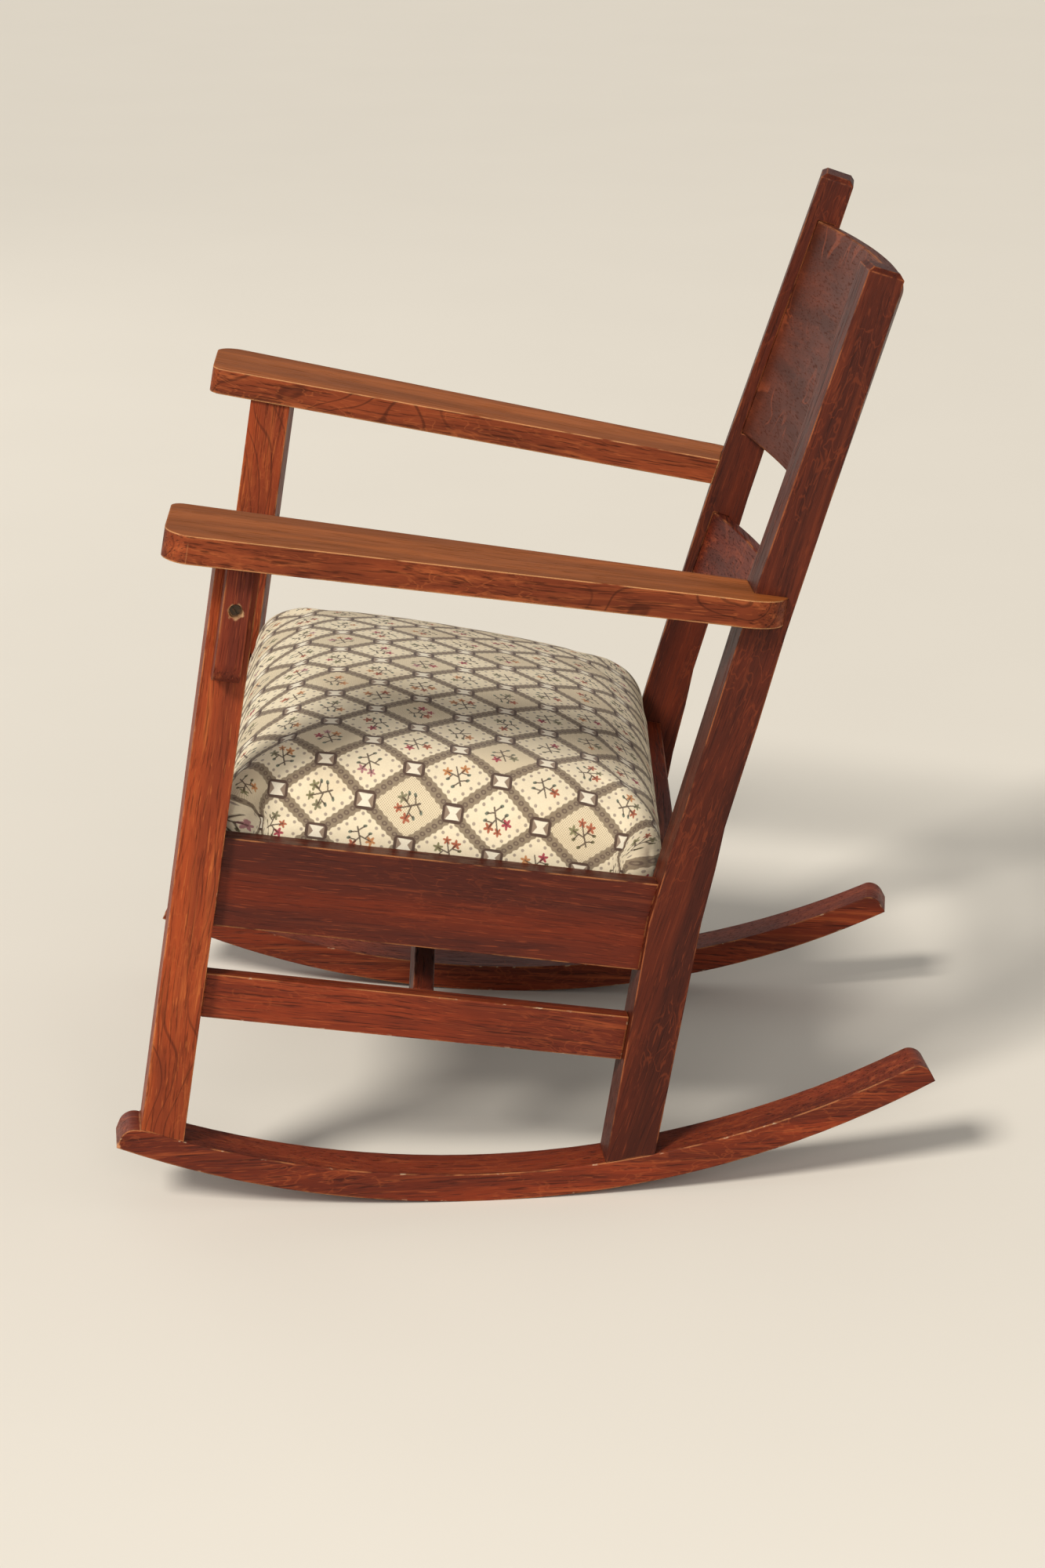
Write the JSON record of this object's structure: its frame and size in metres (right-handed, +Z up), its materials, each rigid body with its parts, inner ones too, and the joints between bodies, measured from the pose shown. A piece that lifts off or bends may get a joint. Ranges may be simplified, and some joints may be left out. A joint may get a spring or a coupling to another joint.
{
  "type": "rocking chair",
  "caption": "Oak arm rocking chair on curved runners, with a bent crest panel, pitched flat arms on corbels and a sprung drop-in seat covered in patterned tapestry.",
  "frame": {"origin": "middle of the bounding box at floor level, on the plane of symmetry", "axes": "+Z up, the chair faces -Y, +X towards the sitter's left side"},
  "size_m": [0.798, 0.7879, 0.8989],
  "materials": {
    "left_runner": "worn reddish-brown oak, pale at the arrises",
    "right_runner": "worn reddish-brown oak, pale at the arrises",
    "left_front_post": "worn reddish-brown oak, pale at the arrises",
    "right_front_post": "worn reddish-brown oak, pale at the arrises",
    "left_rear_post": "dark red-brown quarter-sawn oak with ray fleck",
    "right_rear_post": "dark red-brown quarter-sawn oak with ray fleck",
    "left_arm": "worn lighter orange-brown oak",
    "right_arm": "worn lighter orange-brown oak",
    "left_corbel": "worn reddish-brown oak, pale at the arrises",
    "right_corbel": "worn reddish-brown oak, pale at the arrises",
    "left_side_rail": "dark red-brown quarter-sawn oak with ray fleck",
    "right_side_rail": "dark red-brown quarter-sawn oak with ray fleck",
    "left_side_stretcher": "worn reddish-brown oak, pale at the arrises",
    "right_side_stretcher": "worn reddish-brown oak, pale at the arrises",
    "left_seat_cleat": "bare softwood",
    "right_seat_cleat": "bare softwood",
    "front_rail": "worn reddish-brown oak, pale at the arrises",
    "back_rail": "dark red-brown quarter-sawn oak with ray fleck",
    "cross_stretcher": "dark red-brown quarter-sawn oak with ray fleck",
    "crest_panel": "dark red-brown quarter-sawn oak with ray fleck",
    "lower_back_rail": "worn reddish-brown oak, pale at the arrises",
    "front_corner_blocks": "bare softwood",
    "rear_corner_blocks": "bare softwood",
    "corner_block_screws": "dull steel",
    "cleat_screws": "dull steel",
    "corbel_screws": "dull steel",
    "runner_screws": "dull steel",
    "arm_dowels": "bare softwood",
    "seat_frame_left": "bare softwood",
    "seat_frame_right": "bare softwood",
    "seat_frame_front": "bare softwood",
    "seat_frame_back": "bare softwood",
    "webbing_lengthwise": "woven jute webbing",
    "webbing_crosswise": "woven jute webbing",
    "coil_springs": "dull steel",
    "burlap_cover": "coarse burlap",
    "seat_padding": "cotton padding",
    "seat_cover": "woven tapestry with chained medallions, cream, taupe and brown",
    "dust_cover": "black cambric",
    "upholstery_tacks": "dull steel"
  },
  "bodies": {
    "root": {"left_runner": "left_runner", "right_runner": "right_runner", "left_front_post": "left_front_post", "right_front_post": "right_front_post", "left_rear_post": "left_rear_post", "right_rear_post": "right_rear_post", "left_arm": "left_arm", "right_arm": "right_arm", "left_corbel": "left_corbel", "right_corbel": "right_corbel", "left_side_rail": "left_side_rail", "right_side_rail": "right_side_rail", "left_side_stretcher": "left_side_stretcher", "right_side_stretcher": "right_side_stretcher", "left_seat_cleat": "left_seat_cleat", "right_seat_cleat": "right_seat_cleat", "front_rail": "front_rail", "back_rail": "back_rail", "cross_stretcher": "cross_stretcher", "crest_panel": "crest_panel", "lower_back_rail": "lower_back_rail", "front_corner_blocks": "front_corner_blocks", "rear_corner_blocks": "rear_corner_blocks", "corner_block_screws": "corner_block_screws", "cleat_screws": "cleat_screws", "corbel_screws": "corbel_screws", "runner_screws": "runner_screws", "arm_dowels": "arm_dowels", "seat_frame_left": "seat_frame_left", "seat_frame_right": "seat_frame_right", "seat_frame_front": "seat_frame_front", "seat_frame_back": "seat_frame_back", "webbing_lengthwise": "webbing_lengthwise", "webbing_crosswise": "webbing_crosswise", "coil_springs": "coil_springs", "burlap_cover": "burlap_cover", "seat_padding": "seat_padding", "seat_cover": "seat_cover", "dust_cover": "dust_cover", "upholstery_tacks": "upholstery_tacks"}
  },
  "joints": []
}
